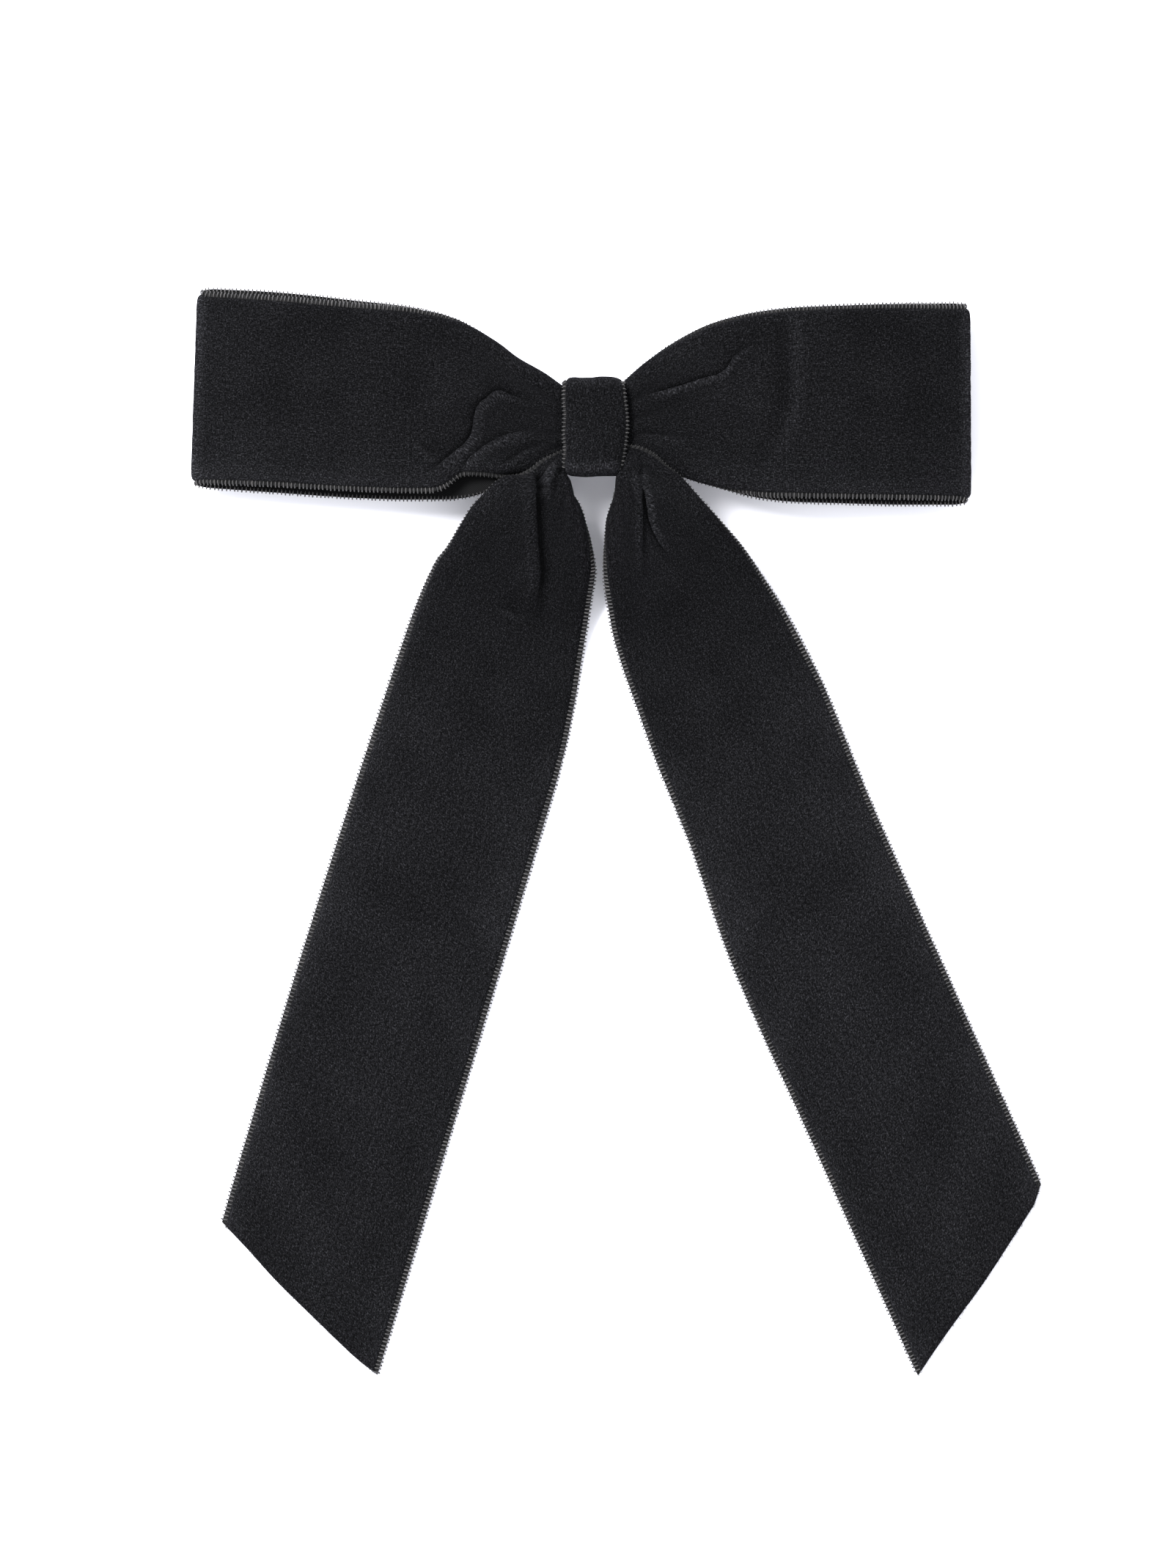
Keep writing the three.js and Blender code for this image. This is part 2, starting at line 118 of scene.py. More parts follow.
def through(points):
    """A smooth function of one number through points, each of them a position and one or more values."""
    points = sorted(points)
    xs = np.array([p[0] for p in points], float)
    ys = np.array([p[1:] for p in points], float)
    steps = np.diff(ys, axis=0) / np.diff(xs)[:, None]
    slopes = np.zeros_like(ys)
    slopes[0], slopes[-1] = steps[0], steps[-1]
    slopes[1:-1] = (steps[1:] + steps[:-1]) / 2
    limit = 3 * np.minimum(np.abs(steps[1:]), np.abs(steps[:-1])) * (steps[1:] * steps[:-1] > 0)
    slopes[1:-1] = np.clip(slopes[1:-1], -limit, limit)

    def at(x):
        x = np.clip(np.asarray(x, float), xs[0], xs[-1])
        i = np.clip(np.searchsorted(xs, x) - 1, 0, len(xs) - 2)
        gap = xs[i + 1] - xs[i]
        t = ((x - xs[i]) / gap)[..., None]
        gap = gap[..., None]
        value = hermite(t, ys[i], gap * slopes[i], ys[i + 1], gap * slopes[i + 1])
        return value[..., 0] if ys.shape[1] == 1 else value

    return at


def line(points, count):
    """Evenly spaced points along a smooth curve through the given points."""
    points = np.array(points, float)
    before, after = 2 * points[0] - points[1], 2 * points[-1] - points[-2]
    p = np.concatenate([[before], points, [after]])
    t = np.linspace(0, 1, 24, endpoint=False)[:, None]
    pieces = []
    for a, b, c, d in zip(p[:-3], p[1:-2], p[2:-1], p[3:]):
        length = np.linalg.norm(c - b)
        pieces.append(hermite(t, b, unit(c - a) * length, c, unit(d - b) * length))
    fine = np.concatenate(pieces + [points[-1:]])
    along = lengths(fine)
    even = np.linspace(0, along[-1], count)
    return np.stack([np.interp(even, along, fine[:, k]) for k in range(fine.shape[1])], axis=1)


def stepped(points, step):
    """Points along a smooth curve through the given ones, a step apart."""
    return line(points, int(lengths(line(points, 60))[-1] / step))


def soft_noise(shape, size, seed):
    """Seeded noise around 0 on a grid, in soft blobs of about the given number of cells."""
    small = np.random.default_rng(seed).standard_normal((shape[0] // size + 4, shape[1] // size + 4))
    rows = np.linspace(1, small.shape[0] - 2.01, shape[0])
    columns = np.linspace(1, small.shape[1] - 2.01, shape[1])
    r, c = rows.astype(int), columns.astype(int)
    down, side = smooth(0, 1, rows - r)[:, None], smooth(0, 1, columns - c)[None, :]
    near = small[r][:, c] * (1 - side) + small[r][:, c + 1] * side
    far = small[r + 1][:, c] * (1 - side) + small[r + 1][:, c + 1] * side
    return near * (1 - down) + far * down


def pleat(grid, path, drop, lip, valley, crest, start, end, edge=0.6, painted_glint=0.7, shade=0.45, dark=0.85):
    """Height and pile colour that a pleat along path adds: a valley on the path's left and a rounded lip on
    its right. It grows in over the share of the path called start, and fades out from the share called end.
    Along the lip the pile's colour is lightened by glint, a painted highlight, and in the valley it is
    darkened by shade, a painted shade, which is darkest at the distance called dark."""
    path = line(path, 160)
    x, y = grid[..., 0].ravel(), grid[..., 1].ravel()
    widest = 9
    low, high = path.min(0) - widest, path.max(0) + widest
    near = np.flatnonzero((x > low[0]) & (x < high[0]) & (y > low[1]) & (y < high[1]))
    away = np.stack([x[near], y[near]], 1)[:, None] - path[None]
    closest = np.argmin((away ** 2).sum(-1), axis=1)
    offset = away[np.arange(near.size), closest]
    heading = np.gradient(path, axis=0)[closest]
    side = np.sign(heading[:, 0] * offset[:, 1] - heading[:, 1] * offset[:, 0])
    distance = side * np.linalg.norm(offset, axis=1)
    share = closest / (len(path) - 1)
    strength = smooth(0, start, share) * (1 - smooth(end, 1, share))
    left = smooth(-edge, edge, distance)
    hollow = -drop * np.exp(-np.maximum(distance, 0) / valley) * left
    crown = lip * bell(np.minimum(distance, 0), crest) * (1 - left)
    # painted highlight along the lip and painted shade in the valley, for the pile's colour
    opened = painted_glint * bell(distance + 0.4 * edge, 0.9 * edge) - shade * bell(distance - dark, dark)
    height, lie_and_painted_light = np.zeros(x.size), np.zeros(x.size)
    height[near] = strength * (hollow + crown)
    lie_and_painted_light[near] = strength * opened
    return height.reshape(grid.shape[:2]), lie_and_painted_light.reshape(grid.shape[:2])


def pleated(grid, creases):
    """Height and painted highlight and shade that several pleats add together."""
    each = [pleat(grid, **crease) for crease in creases]
    return sum(height for height, _ in each), sum(lie_and_painted_light for _, lie_and_painted_light in each)


# ---------- the ribbon as a mesh ----------

def across_ribbon(width, bare=SELVEDGE):
    """Distances of the grid's columns from one edge's picot tips, closest together where the pile starts."""
    edge = np.array([PICOT_REACH, 0.6, bare - 0.06, bare, bare + 0.08, bare + 0.24, bare + 0.5])
    inner = edge[-1] + STEP
    middle = np.linspace(inner, width - inner, int((width - 2 * inner) / STEP))
    return np.r_[edge, middle, width - edge[::-1]]


def cross_section(first, second, across, width, curl):
    """Points across a ribbon between its two edge lines, in plan, and how far each drops below the middle.
    curl is, for each row, how far the two edges roll under: 0 is flat, and 1 is square to the ribbon."""
    span = second - first
    length = np.linalg.norm(span, axis=1)
    direction = span / length[:, None]
    hem = HEM / width
    v = across[None, :] / width
    arc = np.minimum(HEM, 0.3 * length)[:, None]
    reach, drop = [], []
    for side, local in ((0, (hem - v) / hem), (1, (v - 1 + hem) / hem)):
        local = np.clip(local, 0, 1)
        angle = curl[:, side:side + 1] * 0.5 * math.pi + 0.001
        radius = arc / angle
        reach.append((radius * np.sin(angle * local), radius * np.sin(angle)))
        drop.append(radius * (1 - np.cos(angle * local)))
    middle = np.clip((v - hem) / (1 - 2 * hem), 0, 1)
    (near, near_whole), (far, far_whole) = reach
    along = near_whole - near + middle * (length[:, None] - near_whole - far_whole) + far
    return first[:, None] + direction[:, None] * along[..., None], drop[0] + drop[1]


def surface_normals(grid):
    return unit(np.cross(np.gradient(grid, axis=0), np.gradient(grid, axis=1)))


def new_mesh(name, vertices, faces, materials, slots=None, uvs=None):
    """A mesh object from points in millimetres, with a material number for each face and a UV for each
    vertex."""
    mesh = bpy.data.meshes.new(name)
    points = (np.asarray(vertices, float) / 1000).tolist()
    mesh.from_pydata(points, [], [list(map(int, face)) for face in faces])
    for material in materials:
        mesh.materials.append(material)
    if slots is not None:
        mesh.polygons.foreach_set("material_index", np.asarray(slots, np.int32))
    mesh.polygons.foreach_set("use_smooth", [True] * len(mesh.polygons))
    if uvs is not None:
        corners = np.empty(len(mesh.loops), np.int32)
        mesh.loops.foreach_get("vertex_index", corners)
        layer = mesh.uv_layers.new(name="Ribbon")
        layer.data.foreach_set("uv", np.asarray(uvs, np.float32)[corners].ravel())
    mesh.update()
    piece = bpy.data.objects.new(name, mesh)
    bpy.context.scene.collection.objects.link(piece)
    return piece


def closed_pair(top, under):
    """Vertices and faces of a closed slab between two grids of points. The third value numbers the faces: 0
    on top, 1 on the rim and 2 underneath."""
    rows, columns = top.shape[:2]
    index = np.arange(rows * columns).reshape(rows, columns)
    a, b, c, d = index[:-1, :-1], index[1:, :-1], index[1:, 1:], index[:-1, 1:]
    upper = np.stack([a, b, c, d], -1).reshape(-1, 4)
    lower = np.stack([a, d, c, b], -1).reshape(-1, 4) + rows * columns
    rim = np.r_[index[:, 0], index[-1, 1:], index[-2::-1, -1], index[0, -2:0:-1]]
    below = rim + rows * columns
    wall = np.stack([np.roll(rim, -1), rim, below, np.roll(below, -1)], -1)
    kinds = np.r_[np.zeros(len(upper), int), np.full(len(lower), 2), np.ones(len(wall), int)]
    vertices = np.concatenate([top.reshape(-1, 3), under.reshape(-1, 3)])
    return vertices, np.concatenate([upper, lower, wall]), kinds


def point_values(piece, name, values):
    """Gives every vertex a number that its material can read."""
    attribute = piece.data.attributes.new(name, "FLOAT", "POINT")
    attribute.data.foreach_set("value", values.astype(np.float32))


def thicken(name, grid, across, width, press, flip, lie_and_painted_light, bare=SELVEDGE):
    """One closed ribbon mesh from a grid of backing points, with rows along the ribbon and columns across it.
    The pile stands on the side that the grid's normals point to, or on the other with flip. press is the
    share by which each row's pile is flattened, and lie scales the pile's colour: painted highlights and
    shade, and a band across the right loop."""
    rows, columns = grid.shape[:2]
    normal = surface_normals(grid) * (-1 if flip else 1)
    inside = np.minimum(across, width - across) - bare
    profile = np.interp(inside, *zip(*PILE_RISE))[None, :]
    profile = profile * (1 - np.broadcast_to(press, (rows,)))[:, None]
    from_end = np.minimum(np.arange(rows), np.arange(rows)[::-1])
    profile = profile * np.interp(from_end, [0, 1, 2], [0.55, 0.9, 1])[:, None]
    uneven = 0.035 * soft_noise((rows, columns), 3, 11) * (profile > 0.9)
    front = grid + normal * (BACK + (PILE - BACK) * profile + uneven)[..., None]
    vertices, faces, kinds = closed_pair(front, grid - normal * BACK)
    if flip:
        faces = faces[:, ::-1]
    piled = (profile[:-1, :-1] + profile[1:, 1:] + profile[:-1, 1:] + profile[1:, :-1]).ravel() > 0.05
    kinds[:piled.size] = np.where(piled, 0, 1)
    along = lengths(grid[:, columns // 2])
    uv = np.stack(np.broadcast_arrays(along[:, None], across[None, :]), -1).reshape(-1, 2)
    piece = new_mesh(name, vertices, faces, [VELVET, WOVEN, SATIN], kinds, np.concatenate([uv, uv]))
    # lie goes to the velvet's colour: painted highlights and shade, and the right loop's band
    point_values(piece, "lie_and_painted_light", np.tile(lie_and_painted_light.ravel(), 2))
    return piece


# ---------- threads ----------

def tubes(name, centres, sideways, radii, material, sides=6, tint_and_painted_light=None):
    """Many short closed tubes in one mesh. centres is tubes x levels x 3, sideways is one direction for each
    tube, and tint is how bright each one is, painted light included."""
    count, levels = centres.shape[:2]
    heading = unit(np.gradient(centres, axis=1))
    first = unit(sideways[:, None] - heading * (sideways[:, None] * heading).sum(-1, keepdims=True))
    second = np.cross(heading, first)
    turn = np.linspace(0, 2 * math.pi, sides, endpoint=False)
    ring = np.cos(turn)[:, None] * first[:, :, None] + np.sin(turn)[:, None] * second[:, :, None]
    vertices = centres[:, :, None] + radii[:, :, None, None] * ring
    base = np.arange(count)[:, None, None] * levels * sides
    level = np.arange(levels - 1)[None, :, None] * sides
    side = np.arange(sides)[None, None, :]
    a, b = base + level + side, base + level + (side + 1) % sides
    walls = np.stack([a, b, b + sides, a + sides], -1).reshape(-1, 4).tolist()
    starts = (base[:, 0] + np.arange(sides)[None, ::-1]).tolist()
    ends = (base[:, 0] + (levels - 1) * sides + np.arange(sides)[None]).tolist()
    which = np.repeat(np.arange(count), levels * sides)
    uv = np.stack([which * 0.37, which * 0.61], -1)
    piece = new_mesh(name, vertices.reshape(-1, 3), walls + starts + ends, [material], None, uv)
    if tint_and_painted_light is not None:
        point_values(piece, "tint_and_painted_light", tint_and_painted_light[which])
    return piece


def picots(name, grid, flip=False, size=1.0, light=1.0):
    """Stitches over both woven edges: each is a short bent thread from one face round to the other. size
    scales them for each row of the grid, because they are drawn tight where the ribbon is gathered, and
    smaller ones are darker in colour. light brightens their colour as painted light."""
    normal = surface_normals(grid) * (-1 if flip else 1)
    random = np.random.default_rng(23)
    centres, sideways, radii, tints_and_painted_light = [], [], [], []
    for first, inner in ((0, 3), (-1, -4)):
        edge, foot = grid[:, first], grid[:, inner]
        heading = unit(np.gradient(edge, axis=0))
        out = edge - foot
        out = unit(out - heading * (out * heading).sum(1, keepdims=True))
        width = np.linalg.norm(edge - foot, axis=1) * size
        length = lengths(edge)
        count = int(length[-1] / PICOT_PITCH)
        place = (np.arange(count) + 0.5) * PICOT_PITCH + random.uniform(-0.06, 0.06, count)
        row = np.interp(place, length, np.arange(len(edge)))

        def at(values):
            low = np.minimum(row.astype(int), len(edge) - 2)
            part = row - low
            part = part[:, None] if values.ndim == 2 else part
            return values[low] * (1 - part) + values[low + 1] * part

        base, away, up, along = at(edge), at(out), at(normal[:, first]), at(heading)
        wide = at(width)[:, None]
        scale = at(np.broadcast_to(size, (len(edge),)))[:, None]
        reach = (PICOT_REACH + random.uniform(-0.06, 0.08, (count, 1))) * scale
        lean = random.uniform(-0.08, 0.08, (count, 1)) * along
        lift = random.uniform(0.9, 1.15, (count, 1))
        points = [
            base - away * (wide + 0.15) + up * BACK,
            base - away * wide * 0.75 + up * (BACK + 0.24 * lift),
            base - away * 0.25 * wide + up * (BACK + 0.2 * lift) + lean,
            base + away * reach + lean,
            base - away * 0.3 * wide - up * (BACK + 0.1 * lift) + lean,
            base - away * wide - up * (BACK - 0.02),
        ]
        centres.append(np.stack(points, 1))
        sideways.append(along)
        thick = random.uniform(0.92, 1.08, (count, 1))
        # darker for smaller stitches, and brighter by light, which is painted light
        tints_and_painted_light.append(scale[:, 0] ** 2 * at(np.broadcast_to(light, (len(edge),))))
        radii.append(PICOT_RADIUS * scale * thick * np.array([[0.8, 1.1, 1.15, 1.1, 1.1, 0.7]]))
    return tubes(name, *map(np.concatenate, (centres, sideways, radii)), PICOT, tint_and_painted_light=np.concatenate(tints_and_painted_light))


def fringe(name, grid, seed):
    """Loose fibres along the cut end of a ribbon."""
    random = np.random.default_rng(seed)
    count = 130
    end, before = grid[-1], grid[-3]
    place = random.uniform(0, len(end) - 1.001, count)
    low = place.astype(int)
    part = (place - low)[:, None]
    base = end[low] * (1 - part) + end[low + 1] * part
    out = unit(end - before)[low]
    along = unit(np.gradient(end, axis=0))[low]
    length = random.uniform(0.15, 0.7, (count, 1)) * random.uniform(0.5, 1.3, (count, 1))
    bend = random.uniform(-0.6, 0.6, (count, 1)) * along
    rise = np.array([[0, 0, 1]]) * random.uniform(0.1, 0.9, (count, 1))
    start = base - 0.2 * out + rise
    centres = [start, start + length * 0.5 * out + 0.3 * length * bend, start + length * out + length * bend]
    radii = 0.05 * random.uniform(0.7, 1.3, (count, 1)) * np.array([[1, 0.9, 0.5]])
    return tubes(name, np.stack(centres, 1), along, radii, PILE_FIBRE, 5)


def thread(name, points, replaced):
    """A two-ply thread along points: its section has two lobes that turn as it goes."""
    length = lengths(line(points, 100))[-1]
    levels = max(int(length / 0.12), 12)
    centre = line(points, levels)
    heading = unit(np.gradient(centre, axis=0))
    first = unit(np.cross(heading, (0.2, 0.9, 0.3)))
    second = np.cross(heading, first)
    sides = 12
    around = np.linspace(0, 2 * math.pi, sides, endpoint=False)[None, :]
    twist = (2 * math.pi * np.linspace(0, length, levels) / THREAD_PITCH)[:, None]
    radius = THREAD_RADIUS * (0.722 + 0.228 * np.abs(np.cos(around - twist)))
    ring = np.cos(around)[..., None] * first[:, None] + np.sin(around)[..., None] * second[:, None]
    vertices = (centre[:, None] + radius[..., None] * ring).reshape(-1, 3)
    faces = []
    for level in range(levels - 1):
        for k in range(sides):
            a, b = level * sides + k, level * sides + (k + 1) % sides
            faces.append([a, b, b + sides, a + sides])
    faces.append(list(range(sides))[::-1])
    faces.append([(levels - 1) * sides + k for k in range(sides)])
    piece = new_mesh(name, vertices, faces, [THREAD])
    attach(piece, "bow")
    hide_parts(replaced)
    return piece


# ---------- materials ----------

class Nodes:
    """A material's node tree, with short ways to add and join nodes."""

    def __init__(self, name, **values):
        self.material = bpy.data.materials.new(name)
        self.material.use_nodes = True
        self.tree = self.material.node_tree
        self.shader = self.tree.nodes["Principled BSDF"]
        for key, value in values.items():
            self.shader.inputs[key.replace("_", " ")].default_value = value

    def add(self, kind, inputs=(), **settings):
        node = self.tree.nodes.new("ShaderNode" + kind)
        for key, value in settings.items():
            setattr(node, key, value)
        for key, value in dict(inputs).items():
            self.put(node.inputs[key], value)
        return node

    def put(self, socket, value):
        """Sets a socket to a number or a colour, or joins it to another node's output."""
        if isinstance(value, bpy.types.NodeSocket):
            self.tree.links.new(value, socket)
        elif isinstance(value, tuple) and socket.type == "RGBA":
            socket.default_value = (*value, 1)
        else:
            socket.default_value = value

    def place(self, kind="UV", scale=(1, 1, 1), turn=0):
        """Where a point lies: in millimetres of ribbon for UV, or in metres in the bow's frame for Object."""
        source = self.add("TexCoord").outputs[kind]
        inputs = {"Vector": source, "Scale": scale, "Rotation": (0, 0, math.radians(turn))}
        return self.add("Mapping", inputs).outputs["Vector"]

    def noise(self, place, scale, detail=2.0, roughness=0.5):
        inputs = {"Vector": place, "Scale": scale, "Detail": detail, "Roughness": roughness}
        return self.add("TexNoise", inputs).outputs["Fac"]

    def bands(self, place, scale, distortion, direction="X"):
        inputs = {"Vector": place, "Scale": scale, "Distortion": distortion, "Detail": 2.0}
        return self.add("TexWave", inputs, wave_type="BANDS", bands_direction=direction).outputs["Fac"]

    def ramp(self, source, *stops):
        """A colour from a number, through (number, grey or colour) stops."""
        node = self.add("ValToRGB", {"Fac": source})
        elements = node.color_ramp.elements
        while len(elements) < len(stops):
            elements.new(0.5)
        for element, (position, colour) in zip(elements, stops):
            element.position = position
            element.color = (*colour, 1)
        return node.outputs["Color"]

    def maths(self, operation, first, second):
        return self.add("Math", {0: first, 1: second}, operation=operation).outputs["Value"]

    def multiply(self, first, second):
        """One colour times another."""
        node = self.add("Mix", {0: 1.0, 6: first, 7: second}, data_type="RGBA", blend_type="MULTIPLY")
        return node.outputs[2]

    def scaled(self, colour, factor):
        """A colour times a number."""
        return self.add("VectorMath", {0: colour, "Scale": factor}, operation="SCALE").outputs["Vector"]

    def value(self, name):
        """A number that the mesh keeps at each vertex."""
        return self.add("Attribute", attribute_name=name).outputs["Fac"]

    def bump(self, height, strength, distance, after=None):
        """A bump of that many millimetres."""
        node = self.add("Bump", {"Strength": strength, "Distance": distance / 1000, "Height": height})
        if after is not None:
            self.put(node.inputs["Normal"], after)
        return node.outputs["Normal"]

    def finish(self, colour, roughness=None, normal=None):
        for name, source in (("Base Color", colour), ("Roughness", roughness), ("Normal", normal)):
            if source is not None:
                self.put(self.shader.inputs[name], source)
        return self.material


def grey(value, warm=0.0):
    """A grey that is slightly cool, or slightly warm."""
    return value * (1 + warm), value, value * (1.06 - warm)


def velvet():
    """Short dense pile: near black, with grains that catch the light and soft clouds, its colour scaled by
    painted highlights and shade that the mesh carries, and by a band across the right loop.
    """
    n = Nodes("velvet_pile", Roughness=0.95, Specular_IOR_Level=0.01, Sheen_Weight=0.012,
              Sheen_Roughness=0.45, Sheen_Tint=(0.88, 0.87, 1, 1))
    ribbon = n.place()
    fine = n.noise(ribbon, 3.3, 2.0, 0.6)
    clump = n.noise(ribbon, 1.4)
    cloud = n.noise(ribbon, 0.07, 3.0, 0.55)
    grain = n.maths("ADD", n.maths("MULTIPLY", fine, 0.75), n.maths("MULTIPLY", clump, 0.25))
    dark = n.ramp(grain, (0.36, grey(0.0008)), (0.5, grey(0.003)), (0.6, grey(0.0082)), (0.7, grey(0.021)))
    shade = n.ramp(cloud, (0.3, grey(0.8)), (0.7, grey(1.2)))
    # the pile's colour is scaled by painted highlights and shade from the mesh's lie values
    pile_marks_and_painted_light = n.maths("MAXIMUM", n.maths("ADD", n.maths("MULTIPLY", n.value("lie_and_painted_light"), 1.7), 1), 0.15)
    bump = n.bump(clump, 0.25, 0.3, n.bump(fine, 0.9, 0.3))
    return n.finish(n.scaled(n.multiply(dark, shade), pile_marks_and_painted_light), None, bump)


def selvedge():
    """The bare woven edge: fine ribs across the ribbon, lighter than the pile."""
    n = Nodes("woven_selvedge", Roughness=0.8, Specular_IOR_Level=0.08, Sheen_Weight=0.02)
    ribbon = n.place()
    ribs = n.bands(ribbon, 0.42, 1.2)
    colour = n.ramp(ribs, (0.2, grey(0.003)), (0.75, grey(0.011, 0.02)))
    return n.finish(colour, None, n.bump(ribs, 0.7, 0.15, n.bump(n.noise(ribbon, 4.0), 0.5, 0.1)))


def satin():
    """The ribbon's plain side: fine slanting floats with a low gloss."""
    n = Nodes("satin_back", Specular_IOR_Level=0.05)
    floats = n.bands(n.place(turn=62), 0.9, 0.6)
    cloud = n.noise(n.place(), 0.2, 3.0)
    colour = n.multiply(n.ramp(floats, (0.1, grey(0.0008)), (0.9, grey(0.003))),
                        n.ramp(cloud, (0.3, grey(0.75)), (0.7, grey(1.2))))
    rough = n.maths("ADD", n.maths("MULTIPLY", cloud, 0.2), 0.5)
    return n.finish(colour, rough, n.bump(floats, 0.45, 0.08))


def picot_thread():
    """Filament yarn of the picot edges: grey with a brownish cast, each stitch a little different."""
    n = Nodes("picot_thread", Roughness=0.6, Specular_IOR_Level=0.25, Sheen_Weight=0.03)
    each = n.noise(n.place(), 3.1, 1.0)
    even = n.ramp(each, (0.3, grey(0.02)), (0.5, grey(0.034, 0.03)), (0.7, grey(0.05, 0.06)))
    filaments = n.noise(n.place("Object"), 6000.0)
    # each stitch's tint scales the colour; on the loops' rear layer it holds painted light
    return n.finish(n.scaled(even, n.value("tint_and_painted_light")), None, n.bump(filaments, 0.5, 0.08))


def pile_fibre():
    """Loose ends of pile and backing at a cut edge."""
    n = Nodes("pile_fibre", Roughness=0.8, Sheen_Weight=0.2)
    return n.finish(n.ramp(n.noise(n.place(), 3.1, 1.0), (0.3, grey(0.01)), (0.7, grey(0.06))))


def sewing_thread():
    """Black polyester thread with a diagonal twist."""
    n = Nodes("sewing_thread", Roughness=0.6, Sheen_Weight=0.2)
    twist = n.bands(n.place("Object"), 900.0, 0.5, "DIAGONAL")
    return n.finish(n.ramp(twist, (0.2, grey(0.006)), (0.9, grey(0.03))), None, n.bump(twist, 0.6, 0.12))


def felt():
    """Pressed wool fibres, matt and slightly lighter where they stand up."""
    n = Nodes("needle_felt", Roughness=1.0, Specular_IOR_Level=0.1, Sheen_Weight=0.3)
    fibres = n.noise(n.place("Object"), 1800.0, 4.0, 0.7)
    return n.finish(n.ramp(fibres, (0.35, grey(0.006)), (0.7, grey(0.035))), None, n.bump(fibres, 0.9, 0.3))


def steel():
    """Nickel-plated spring steel: drawn along its length, with soft wear and a few dull patches."""
    n = Nodes("nickel_steel", Metallic=1.0)
    drawn = n.noise(n.place("Object", scale=(60, 2600, 2600)), 1.0, 3.0)
    worn = n.noise(n.place("Object"), 140.0, 4.0)
    colour = n.ramp(worn, (0.3, grey(0.36, 0.02)), (0.7, grey(0.5, 0.01)))
    rough = n.maths("ADD", n.maths("MULTIPLY", drawn, 0.16), n.maths("MULTIPLY", worn, 0.28))
    return n.finish(colour, rough, n.bump(drawn, 0.25, 0.05))


def pale_floor():
    """Near-white matt paper."""
    n = Nodes("pale_floor", Roughness=0.9, Specular_IOR_Level=0.1)
    return n.finish(n.ramp(n.noise(n.place("Object"), 3.0), (0.3, grey(0.86)), (0.7, grey(0.88))))


VELVET, WOVEN, SATIN = velvet(), selvedge(), satin()
PICOT, PILE_FIBRE, THREAD = picot_thread(), pile_fibre(), sewing_thread()
FELT, STEEL, FLOOR = felt(), steel(), pale_floor()


# ---------- loops ----------

def loop_line(reach):
    """The backing's line seen from the side, as (distance from the knot, height): out along the front, round
    the fold and back along the rear."""
    front = [(0.5, 14.3), (1.6, 14.3), (7, 13.8), (12, 13.6), (20, 13.8), (28, 14.6), (38, 15.1), (48, 15.0),
             (reach - 18, 13.5), (reach - 8, 10.9)]
    fold = [(reach - 3.6, 9.2), (reach - 1.7, 8.3), (reach - 1.3, 7.8), (reach - 1.7, 7.3), (reach - 4, 7.0)]
    rear = [(reach - 18, 7.7), (46, 8.5), (36, 9.4), (27, 10.9), (18, 12.4), (10, 13.1), (5, 13.3),
            (1.6, 13.9), (0.5, 13.9)]
    return front + fold + rear


def loop_surface(side, reach, slant, edges, rolls, across):
    """A loop's backing before its pleats, each row's distance from the knot, and how far each row belongs to
    the front layer, from 1 to 0 round the fold."""
    path = stepped(loop_line(reach), STEP)
    rows = len(path)
    out, height = path[:, 0], path[:, 1]
    turn = int(np.argmax(out))
    front = 1 - smooth(turn - 6, turn + 6, np.arange(rows))
    front_bottom, front_top, rear_bottom, rear_top = edges(out).T
    bottom = front_bottom * front + rear_bottom * (1 - front)
    top = front_top * front + rear_top * (1 - front)
    curl = rolls(out) * (0.25 + 0.75 * front)[:, None]
    plan, drop = cross_section(np.c_[out, bottom], np.c_[out, top], across, RIBBON_WIDTH, curl)
    v = across[None, :] / RIBBON_WIDTH
    lean = slant * (plan[..., 1] - 8) / 40 * (out[:, None] / reach) ** 2
    opened = smooth(14, 34, out)
    dome = 0.9 * (smooth(4, 10, out) * (1 - opened))[:, None] * (1 - (2 * v - 1) ** 2)
    fold_calm = 1 - smooth(reach - 14, reach - 5, out)
    grid = np.empty((rows, len(across), 3))
    grid[..., 0] = side * (plan[..., 0] - lean)
    grid[..., 1] = plan[..., 1]
    grid[..., 2] = height[:, None] - drop + dome
    wave = 0.45 * soft_noise(grid.shape[:2], 40, 5 + side) * (opened * fold_calm)[:, None]
    grid[..., 2] += wave * (0.3 + 0.7 * front)[:, None]
    return grid, out, front


